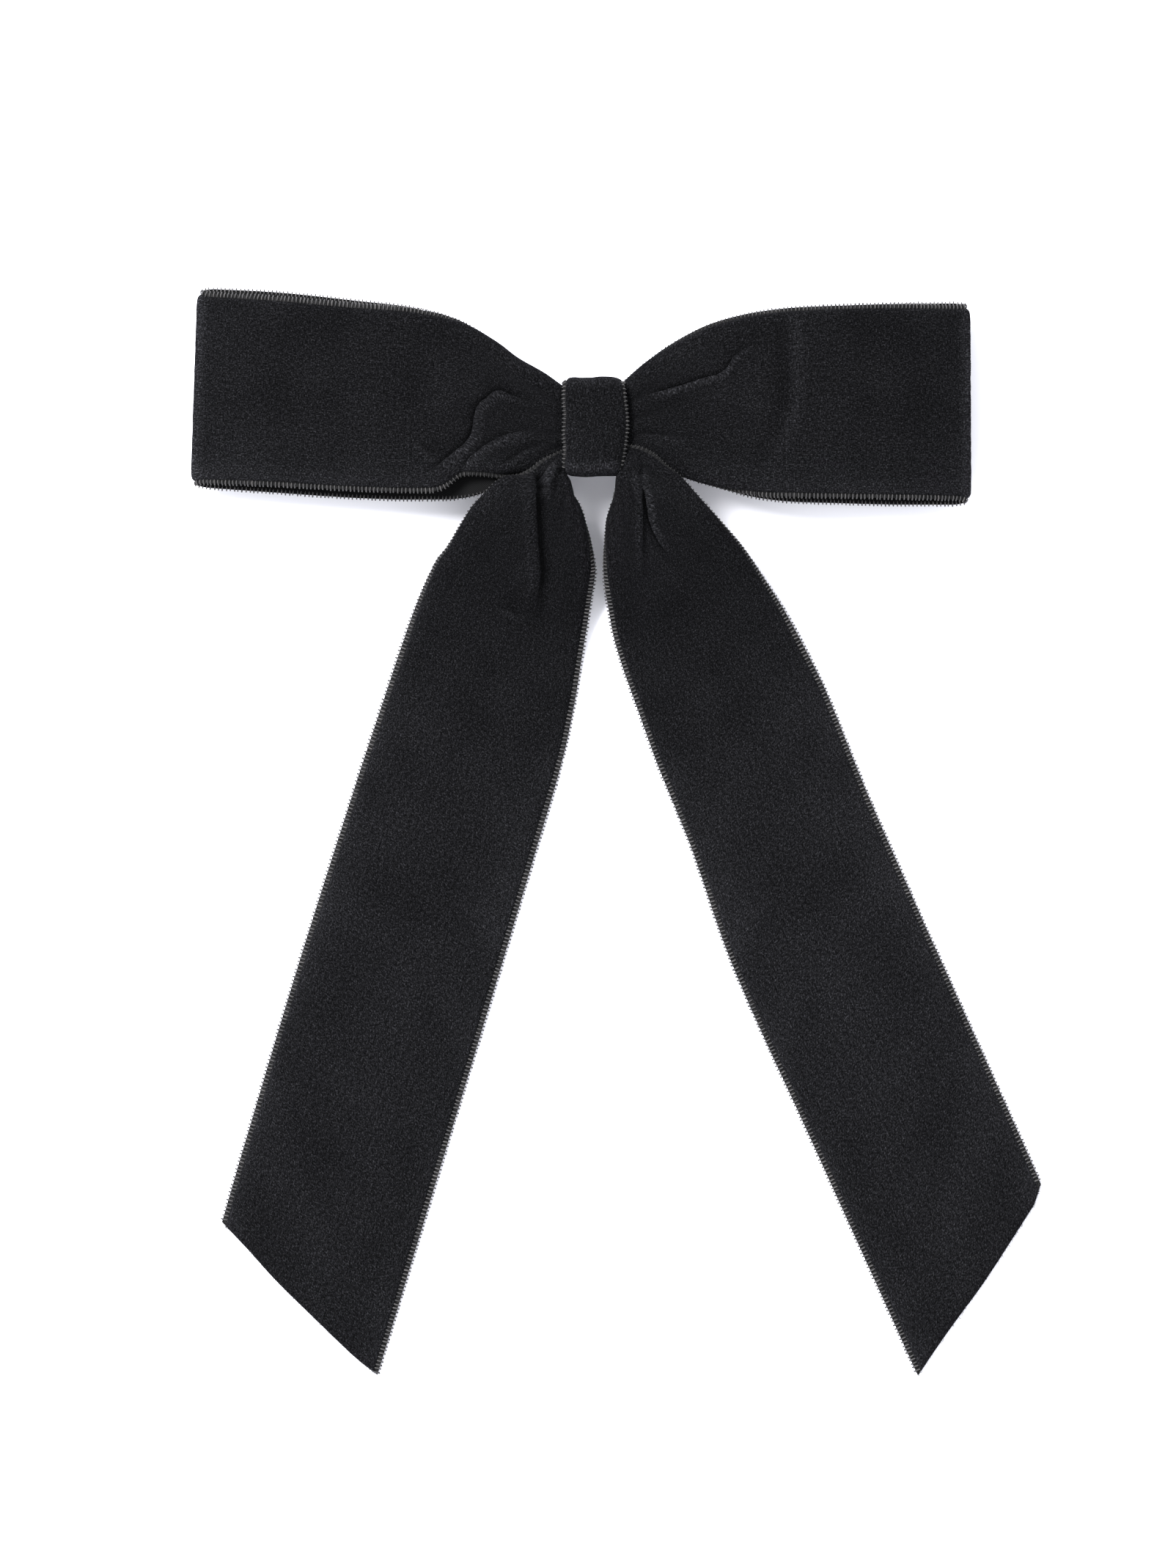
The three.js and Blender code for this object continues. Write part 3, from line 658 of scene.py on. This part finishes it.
def ribbon_loop(name, side, reach, slant, edges, rolls, creases, lie_and_painted_light=None):
    """One loop. edges gives the (front bottom, front top, rear bottom, rear top) and rolls the (bottom, top)
    curl of the front's edges, at each distance from the knot. slant is how far the fold leans out towards the
    tails, and lie adds a band to the pile's colour, beside the loop's painted highlights and shade."""
    across = across_ribbon(RIBBON_WIDTH)
    grid, out, front = loop_surface(side, reach, slant, edges, rolls, across)
    gathered = smooth(2, 8, out) * (1 - smooth(10, 24, out))
    ripple = 0.22 * np.cos(2 * math.pi * 4.5 * across[None, :] / RIBBON_WIDTH + side) * gathered[:, None]
    nested = front + (1 - front) * (1 - smooth(8, 22, out))
    raised, pile_marks_and_painted_light = pleated(grid, creases)
    grid[..., 2] += (ripple + raised) * nested[:, None]
    # painted highlight along the fold, and painted light near the lower woven edge, in the pile's colour
    painted_fold_highlight = 0.6 * bell(out - reach + 1.4, 1.3)
    painted_edge_light = 0.5 * np.exp(-np.maximum(across - SELVEDGE, 0) / 3)
    pile_marks_and_painted_light = pile_marks_and_painted_light + painted_fold_highlight[:, None] + painted_edge_light[None, :] * smooth(14, 34, out)[:, None]
    if lie_and_painted_light:
        pile_marks_and_painted_light = pile_marks_and_painted_light + lie_and_painted_light(grid)
    pile_marks_and_painted_light = pile_marks_and_painted_light * (front[:, None] > 0.2)
    press = 0.55 * (1 - smooth(2, 9, out)) * (0.7 + 0.3 * front)
    piece = thicken(name + "_ribbon", grid, across, RIBBON_WIDTH, press, side < 0, pile_marks_and_painted_light)
    # the rear layer's stitches are brightened with painted light, where the front layer shades them
    edge = picots(name + "_picots", grid, flip=side < 0, size=0.5 + 0.38 * smooth(20, 34, out),
                  light=1 + 1.3 * (1 - front))
    for made in (piece, edge):
        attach(made, "bow")
    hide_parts(name)


# the loops' edges: distance from the knot, then front bottom, front top, rear bottom and rear top
LEFT_EDGES = through([
    (0.5, -6.2, 6.1, -6.0, 5.9),
    (2, -6.4, 6.3, -6.2, 6.1),
    (7, -8.0, 8.1, -7.4, 7.4),
    (11, -9.2, 10.8, -8.6, 10.0),
    (17, -10.6, 14.3, -10.9, 13.3),
    (20, -11.0, 16.7, -12.7, 15.6),
    (22.5, -10.7, 18.5, -13.9, 17.3),
    (25.5, -10.5, 20.5, -14.8, 19.4),
    (28, -10.8, 21.9, -15.2, 21.3),
    (30, -12.4, 22.7, -15.4, 22.5),
    (32, -13.5, 23.4, -15.4, 23.3),
    (35, -13.9, 24.0, -15.4, 24.2),
    (38, -13.9, 24.5, -15.4, 25.0),
    (50, -13.5, 25.4, -15.0, 26.5),
    (66, -12.6, 26.9, -13.9, 28.2),
    (82.5, -11.9, 28.1, -12.7, 29.1),
])
RIGHT_EDGES = through([
    (0.5, -6.2, 6.1, -6.0, 5.9),
    (2, -6.4, 6.3, -6.2, 6.1),
    (7, -8.2, 10.2, -7.4, 9.2),
    (11, -9.0, 13.7, -8.4, 12.5),
    (17, -10.1, 17.9, -9.6, 16.9),
    (23, -12.0, 21.0, -11.8, 20.4),
    (30, -13.9, 23.1, -14.2, 22.8),
    (38, -14.9, 24.4, -15.6, 24.4),
    (50, -15.0, 25.1, -16.1, 25.4),
    (64, -15.2, 25.4, -16.4, 25.9),
    (77, -15.4, 25.4, -16.4, 26.0),
])
# how far the loops' edges roll under: distance from the knot, then bottom and top
LEFT_ROLLS = through([(0, 0.8, 1), (10, 0.8, 1), (17, 0.3, 1), (21, 0, 0.95), (27, 0, 0.7), (33, 0, 0.15),
                      (36, 0, 0), (90, 0, 0)])
RIGHT_ROLLS = through([(0, 0.8, 0.9), (14, 0.9, 0.65), (20, 0.9, 0.35), (34, 0.3, 0.25), (42, 0, 0.2),
                       (52, 0, 0.05), (60, 0, 0), (90, 0, 0)])

# each crease's glint and shade are a painted highlight and a painted shade in the pile's colour
LEFT_CREASES = [
    # the hooked pleat, from the lower edge up and round towards the knot
    dict(path=[(-36.3, -11.3), (-33, -9.3), (-30.7, -7.6), (-28.4, -5.8), (-26.1, -3.8), (-24.8, -1.4),
               (-24.3, 1.5), (-23.7, 3.6), (-22.3, 5), (-20, 6.5), (-17.2, 5.6), (-13, 4.6), (-9.3, 4.3)],
         drop=1.2, lip=0.45, valley=2.2, crest=1.5, start=0.3, end=0.6,
         edge=0.8, painted_glint=0.4, shade=0.5, dark=0.9),
    dict(path=[(-37.5, -2), (-36.2, -4.6), (-33.5, -6.2), (-30.5, -5.8)],
         drop=0.25, lip=0.12, valley=1.6, crest=1.4, start=0.4, end=0.5,
         edge=0.9, painted_glint=0.25, shade=0.2),
    dict(path=[(-28.5, -12), (-27.4, -9.7), (-25, -6.4), (-19.5, -3), (-11.6, -0.8)],
         drop=0.5, lip=0.35, valley=1.8, crest=2, start=0.3, end=0.6,
         edge=0.8, painted_glint=0.3, shade=0.25),
    dict(path=[(-22, -9.4), (-17, -7.2), (-13, -4.6), (-7.5, -3)],
         drop=0.4, lip=0.2, valley=1.4, crest=1.2, start=0.4, end=0.6,
         edge=0.8, painted_glint=0.2, shade=0.2),
]
RIGHT_CREASES = [
    # the long pleat from the knot, up and out
    dict(path=[(9.6, 5.4), (12.6, 6.1), (16.9, 7.3), (22.2, 9.1), (25, 9.9), (27.2, 11.1), (29, 14),
               (32.2, 16.1), (36, 16.2)],
         drop=0.65, lip=0.2, valley=1.3, crest=1, start=0.22, end=0.45,
         edge=0.4, painted_glint=0.8, shade=0.5, dark=0.7),
    dict(path=[(8, -1.5), (14, -2.4), (22, -3)],
         drop=0.3, lip=0.2, valley=2, crest=2, start=0.1, end=0.3,
         edge=0.9, painted_glint=0.1, shade=0.15),
]


def press_band(grid):
    """A lighter band across the right loop's pile colour, with a fainter dark one beside it, strongest
    towards its top.
    """
    x, y = grid[..., 0], grid[..., 1]
    centre = 41.8 - 0.02 * np.maximum(8 - y, 0) ** 2
    ends = smooth(-13, 4, y) * (1 - smooth(20, 24, y))
    return (0.3 * bell(x - centre, 1.5) - 0.1 * bell(x - centre + 3.2, 1.6)) * ends


ribbon_loop("left_loop", -1, 83.5, 1.4, LEFT_EDGES, LEFT_ROLLS, LEFT_CREASES)
ribbon_loop("right_loop", 1, 78.1, 0.2, RIGHT_EDGES, RIGHT_ROLLS, RIGHT_CREASES, press_band)


# ---------- tails ----------

# height of the tails' backing: over the loops' lower edge, then down to the surface that the bow lies on
TAIL_HEIGHT = through([(-300, 0.35), (-60, 0.35), (-56, 0.4), (-50, 0.75), (-45, 1.75), (-40.3, 3.3),
                       (-36.2, 5.2), (-32.4, 7.35), (-28.9, 9.5), (-22.2, 13.5), (-18.8, 15), (-15.3, 15.9),
                       (-12, 16.1), (0, 16.1)])
TAIL_LOWEST = 0.32


def tail_surface(outer, inner, rolls, cut_bow, across, seed):
    """A tail's backing before its pleats, between its outer and inner edges, and each row's share of the
    way along it."""
    rows = len(stepped(inner, STEP))
    outer, inner = line(outer, rows), line(inner, rows)
    share = np.linspace(0, 1, rows)
    plan, drop = cross_section(outer, inner, across, RIBBON_WIDTH, rolls(share))
    v = across / RIBBON_WIDTH
    heading = unit(inner[-1] - inner[-8])
    bulge = smooth(0.9, 1, share)[:, None] * through(cut_bow)(v)[None, :]
    away = np.hypot(plan[..., 0], plan[..., 1] + 5)
    domed = smooth(0.02, 0.1, share) * (1 - smooth(0.16, 0.34, share))
    dome = domed[:, None] * (1 - (2 * v[None, :] - 1) ** 2)
    grid = np.empty((rows, len(v), 3))
    grid[..., :2] = plan + bulge[..., None] * heading
    grid[..., 2] = TAIL_HEIGHT(plan[..., 1]) - 1.1 * (1 - smooth(1, 8, away))
    grid[..., 2] += 1.1 * dome - drop * smooth(8, 22, away)
    wave = soft_noise(grid.shape[:2], 46, seed) * smooth(0.15, 0.4, share)[:, None]
    grid[..., 2] += 0.35 * (wave + 1) * smooth(0.1, 0.35, share)[:, None]
    gathers = np.cos(2 * math.pi * 5 * v[None, :] + seed) * (1 - smooth(0.05, 0.14, share))[:, None]
    grid[..., 2] += 0.22 * gathers * smooth(2, 8, away)
    return grid, share


def ribbon_tail(name, replaced, outer, inner, rolls, creases, cut_bow, painted_paleness, flip, seed):
    """One tail, from the gathered waist inside the knot to its cut end. cut_bow is how far the cut bulges, at
    shares of the way from the outer edge to the inner. nap lightens the pile's colour all over, a painted
    highlight for the pile leaning towards the light, which makes the tail look paler than the loops."""
    across = across_ribbon(RIBBON_WIDTH, TAIL_SELVEDGE)
    grid, share = tail_surface(outer, inner, rolls, cut_bow, across, seed)
    raised, pile_marks_and_painted_light = pleated(grid, creases)
    grid[..., 2] = np.maximum(grid[..., 2] + raised, TAIL_LOWEST)
    inside = np.minimum(across, RIBBON_WIDTH - across) - TAIL_SELVEDGE
    # painted light: the pile's colour lightened near both edges, and all over by nap
    painted_edge_light = 0.36 * np.exp(-np.maximum(inside, 0) / 3.2)[None, :]
    pile_marks_and_painted_light = pile_marks_and_painted_light + (painted_paleness + painted_edge_light) * smooth(0.15, 0.55, share)[:, None]
    press = 0.6 * (1 - smooth(0.02, 0.05, share))
    piece = thicken(name + "_ribbon", grid, across, RIBBON_WIDTH, press, flip, pile_marks_and_painted_light, bare=TAIL_SELVEDGE)
    edge = picots(name + "_picots", grid, flip=flip, size=0.5 + 0.5 * smooth(0.08, 0.15, share))
    fray = fringe(name + "_fray", grid, seed)
    for made in (piece, edge, fray):
        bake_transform(made)
    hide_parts(*replaced)


# the tails' edges in plan, from the waist to the cut
LEFT_OUTER = [
    (-0.8, -2.2), (-4, -3.9), (-7.3, -5.2), (-11.3, -7), (-13.1, -8.4), (-15.7, -9.9), (-19.6, -11),
    (-22.6, -13.7), (-25.5, -16.8), (-27.8, -20.4), (-30.7, -24.9), (-33.2, -28), (-38.3, -39),
    (-44.7, -57.5), (-50.7, -75.7), (-62.2, -112), (-73.2, -148.7), (-77.9, -164.9),
]
LEFT_INNER = [
    (-0.8, -5.9), (-4, -8.4), (-7, -9.9), (-4.6, -14.1), (-3.1, -16.8), (-1.9, -20.4), (-0.8, -24),
    (0.2, -29.3), (0, -32), (-0.5, -35.1), (-1.2, -39.6), (-2.4, -47), (-4.1, -57.5), (-6.7, -69.6),
    (-12.1, -88), (-19.3, -112), (-30.4, -148.7), (-45.1, -197.1),
]
RIGHT_OUTER = [
    (0.8, -2.2), (4, -3.1), (7.2, -3.9), (9.7, -4.3), (12.4, -5.7), (15, -8.3), (17.3, -10.1), (21.3, -14.6),
    (26.1, -19.9), (30.5, -24.9), (34, -29.7), (40.2, -39), (46.8, -51.4), (49.5, -57.5), (56.8, -75.7),
    (67.4, -100), (72.8, -112), (78.3, -124.3), (89.3, -148.7), (92.9, -156.9),
]
RIGHT_INNER = [
    (0.8, -5.9), (3.4, -8), (5.6, -9.5), (4.9, -11), (3.7, -15), (2.6, -19), (2.1, -22.6), (1.6, -28),
    (1.7, -32.4), (2.6, -38.2), (3.6, -43.6), (5.6, -50.3), (8, -57), (12.5, -69.6), (15, -75.7),
    (19.9, -87.8), (28.4, -112), (44.9, -148.7), (67, -197.4),
]

# how far the tails' edges roll under: share of the way, then outer and inner
LEFT_TAIL_ROLLS = through([
    (0, 0.4, 0.8), (0.04, 0.3, 1), (0.08, 0.5, 1), (0.11, 0.95, 0.6), (0.14, 0.95, 0.15), (0.17, 0.95, 0),
    (0.21, 0.8, 0), (0.28, 0.45, 0), (0.34, 0, 0), (1, 0, 0),
])
RIGHT_TAIL_ROLLS = through([
    (0, 0.4, 0.8), (0.04, 0.3, 1), (0.08, 0.8, 1), (0.11, 0.95, 0.6), (0.14, 0.95, 0.15), (0.17, 0.9, 0),
    (0.28, 0.45, 0), (0.34, 0, 0), (1, 0, 0),
])

LEFT_TAIL_CREASES = [
    # the knife pleat that runs down from the knot: its folded edge lies over a valley, darkened by painted
    # shade
    dict(path=[(-13.3, -8.6), (-13.1, -10.8), (-13, -16.8), (-12.7, -23.5), (-12.2, -30.2), (-12.6, -33.3),
               (-13, -38.2), (-14.2, -43.5)],
         drop=1.7, lip=0.3, valley=2.6, crest=1.8, start=0.08, end=0.5,
         edge=1.15, painted_glint=0.3, shade=0.65, dark=1.3),
    dict(path=[(-20.5, -37), (-17.5, -38.4), (-14.9, -39.8)],
         drop=0.4, lip=0.3, valley=1.6, crest=1.6, start=0.4, end=0.5,
         edge=0.8, painted_glint=0.3, shade=0.2),
    dict(path=[(-7.6, -7.4), (-8.7, -9), (-9.4, -12.4), (-9.2, -17)],
         drop=0.5, lip=0.3, valley=1.2, crest=0.9, start=0.1, end=0.4, shade=0.3),
]
RIGHT_TAIL_CREASES = [
    dict(path=[(16.8, -26.4), (14.8, -24.9), (13.3, -22.6), (11.9, -19.5), (11.5, -16.8), (10.7, -13.7),
               (10.1, -11), (9.3, -6.8)],
         drop=0.9, lip=0.2, valley=1.1, crest=0.7, start=0.3, end=0.6,
         edge=0.45, painted_glint=0.7, shade=0.6, dark=0.6),
    dict(path=[(8.1, -6.1), (9, -14.6), (9.2, -21.3), (9.5, -27), (9.6, -33)],
         drop=0.7, lip=0.2, valley=1.3, crest=0.9, start=0.3, end=0.5,
         edge=0.6, painted_glint=0.5, shade=0.5, dark=0.7),
]

# how far the cut ends bulge, from the outer edge to the inner
LEFT_CUT = [(0, 0), (0.2, 0.35), (0.32, 0.8), (0.45, 0.95), (0.65, 0.9), (0.82, 0.8), (1, 0)]
RIGHT_CUT = [(0, 0), (0.12, 1.4), (0.3, 1.4), (0.5, 1.25), (0.7, 0.5), (0.85, 0.1), (1, 0)]

ribbon_tail("left_tail", ["left_tail", "tail_gather"], LEFT_OUTER, LEFT_INNER, LEFT_TAIL_ROLLS,
            LEFT_TAIL_CREASES, LEFT_CUT, painted_paleness=0.13, flip=False, seed=31)
ribbon_tail("right_tail", ["right_tail"], RIGHT_OUTER, RIGHT_INNER, RIGHT_TAIL_ROLLS,
            RIGHT_TAIL_CREASES, RIGHT_CUT, painted_paleness=0.2, flip=True, seed=37)


# ---------- the knot ----------

def knot_wrap():
    """The short ribbon round the gathered waist. Its outer end overlaps the inner one behind the knot."""
    section = [(3, 11.75), (-2, 11.75), (-6.8, 11.7), (-8.7, 12.3), (-9.2, 14), (-9.2, 16.2), (-8.4, 17.5),
               (-6, 17.95), (0, 18.05), (6, 17.95), (8, 17.5), (8.75, 16.2), (8.8, 14), (8.5, 12),
               (7.4, 11.15), (4, 11), (-2, 11), (-6.8, 11)]
    rows = int(lengths(line(section, 80))[-1] / 0.4)
    y, z = line(section, rows).T
    in_front = smooth(13, 17, z)
    left = -6.85 + 0.12 * np.sin(0.9 * y) * in_front
    bulge = through([(-10, 5.5), (-6, 6.3), (0.6, 7.05), (6, 6.5), (8.4, 6.1), (9, 5.6), (10, 5.2)])(y)
    right = 6.5 + (bulge - 6.5) * in_front
    across = across_ribbon(WRAP_WIDTH, WRAP_SELVEDGE)
    v = across / WRAP_WIDTH
    grid = np.empty((rows, len(across), 3))
    grid[..., 0] = left[:, None] + (right - left)[:, None] * v[None, :]
    grid[..., 1] = y[:, None] + 0.18 * np.sin(0.75 * grid[..., 0]) * in_front[:, None]
    crown = 0.3 - 0.9 * np.abs(2 * v[None, :] - 1) ** 4
    grid[..., 2] = z[:, None] + crown * in_front[:, None]
    behind = 1 - smooth(11.9, 12.6, z)
    # painted sheen: the pile's colour lightened across the wrap's lower and upper bends
    opened = 0.6 * bell(y + 8.3, 0.9) + 0.3 * bell(y - 8.2, 0.6)
    pile_marks_and_painted_light = (opened * in_front)[:, None] * np.ones(len(across))
    piece = thicken("knot_wrap_ribbon", grid, across, WRAP_WIDTH, 0.72 * behind, True, pile_marks_and_painted_light,
                    bare=WRAP_SELVEDGE)
    edge = picots("knot_wrap_picots", grid, flip=True, size=0.85)
    for made in (piece, edge):
        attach(made, "bow")
    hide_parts("knot_wrap")


def stitching():
    """Two-ply sewing thread: turns round the waist, a seam behind the knot and ties through the bar."""
    turn = np.linspace(0, 2 * math.pi * 5, 240)
    x = np.linspace(-1.15, 1.13, len(turn))
    thread("gathering_turns", np.c_[x, 6.75 * np.cos(turn), 14.75 + 1.65 * np.sin(turn)], "gathering_thread")
    for number, x in enumerate((-4, 0, 4), start=1):
        tilt = 0.35 * (number - 2)
        seam = [(x - tilt, -8, 10.95), (x - tilt, -7.9, 10.35), (x, -6.8, 10.1),
                (x + tilt, -5.7, 10.3), (x + tilt, -5.6, 10.9)]
        thread(f"seam_stitch_{number}", seam, f"wrap_stitch_{number}")
    for side, name in ((-1, "left"), (1, "right")):
        tie = [(side * 31, 0.1, 8), (side * 31, 0, 6.4), (side * 31.1, 0, 5.1), (side * 31.6, 0, 4.75),
               (side * 33.4, 0, 4.7), (side * 33.9, 0, 5), (side * 34, 0, 6.2), (side * 34, -0.1, 8)]
        thread(f"bar_tie_{name}", tie, f"bar_stitch_{name}")


def felt_pad():
    """A strip of needle felt between the knot and the bar, with rounded corners and a soft, uneven rim."""
    low, high = (np.array(corner) * 1000 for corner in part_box("felt_pad"))
    centre, half = (low + high) / 2, (high - low) / 2
    u = np.linspace(-1, 1, 71)
    w = np.linspace(-1, 1, 23)
    round_u = (1 - 0.018 * np.abs(w) ** 8)[None, :]
    round_w = (1 - 0.12 * np.abs(u) ** 24)[:, None]
    x = centre[0] + (half[0] - 0.15) * u[:, None] * round_u
    y = centre[1] + (half[1] - 0.15) * w[None, :] * round_w
    rim = np.minimum(1 - np.abs(u)[:, None], (1 - np.abs(w)[None, :]) * 0.35)
    thick = (half[2] - 0.02) * (0.35 + 0.65 * np.clip(rim / 0.03, 0, 1) ** 0.5)
    lumps = 0.04 * soft_noise(x.shape, 2, 3)
    top = np.stack([x, y, centre[2] + thick + lumps], -1)
    under = np.stack([x, y, centre[2] - thick - lumps], -1)
    vertices, faces, _ = closed_pair(top, under)
    piece = new_mesh("felt_strip", vertices, faces, [FELT])
    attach(piece, "bow")
    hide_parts("felt_pad")


knot_wrap()
stitching()
felt_pad()


# ---------- the barrette ----------

def steel_parts():
    """The barrette's parts keep their CAD shapes, with softened edges."""
    for name in STEEL_NODES:
        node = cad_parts[name]
        for slot in node.material_slots:
            slot.material = STEEL
        bevel = node.modifiers.new("edges", "BEVEL")
        bevel.width = 0.12 / 1000
        bevel.segments = 2
        bevel.limit_method = "ANGLE"


steel_parts()


# ---------- floor, light and camera ----------

def floor():
    """The surface that the bow lies on."""
    far = FLOOR_HALF
    piece = new_mesh("floor", [(-far, -far, 0), (far, -far, 0), (far, far, 0), (-far, far, 0)],
                     [(0, 1, 2, 3)], [FLOOR])


def area_light(name, place, size, power):
    """A round lamp of the given size, aimed at the bow."""
    light = bpy.data.lights.new(name, "AREA")
    light.shape = "DISK"
    light.size = size
    light.energy = power
    lamp = bpy.data.objects.new(name, light)
    bpy.context.scene.collection.objects.link(lamp)
    lamp.location = place
    aim = Vector(LOOKED_AT) - Vector(place)
    lamp.rotation_euler = aim.to_track_quat("-Z", "Y").to_euler()


def surroundings():
    """Even white studio light from all sides."""
    world = bpy.data.worlds.new("studio")
    bpy.context.scene.world = world
    world.use_nodes = True
    background = world.node_tree.nodes["Background"]
    background.inputs["Color"].default_value = (0.97, 0.98, 1, 1)
    background.inputs["Strength"].default_value = WORLD_STRENGTH
    bpy.context.scene.view_settings.view_transform = "Standard"


def camera():
    """Straight above the bow, with its top towards +Y."""
    data = bpy.data.cameras.new("camera")
    data.sensor_width = 36
    data.lens = data.sensor_width * CAMERA_HEIGHT / FRAME_HEIGHT
    data.clip_end = 20
    viewer = bpy.data.objects.new("camera", data)
    bpy.context.scene.collection.objects.link(viewer)
    viewer.location = (LOOKED_AT[0], LOOKED_AT[1], CAMERA_HEIGHT + LOOKED_AT[2])
    bpy.context.scene.camera = viewer


floor()
area_light("key", (-0.6, 0.5, 1.1), 0.55, 45.0)
surroundings()
camera()
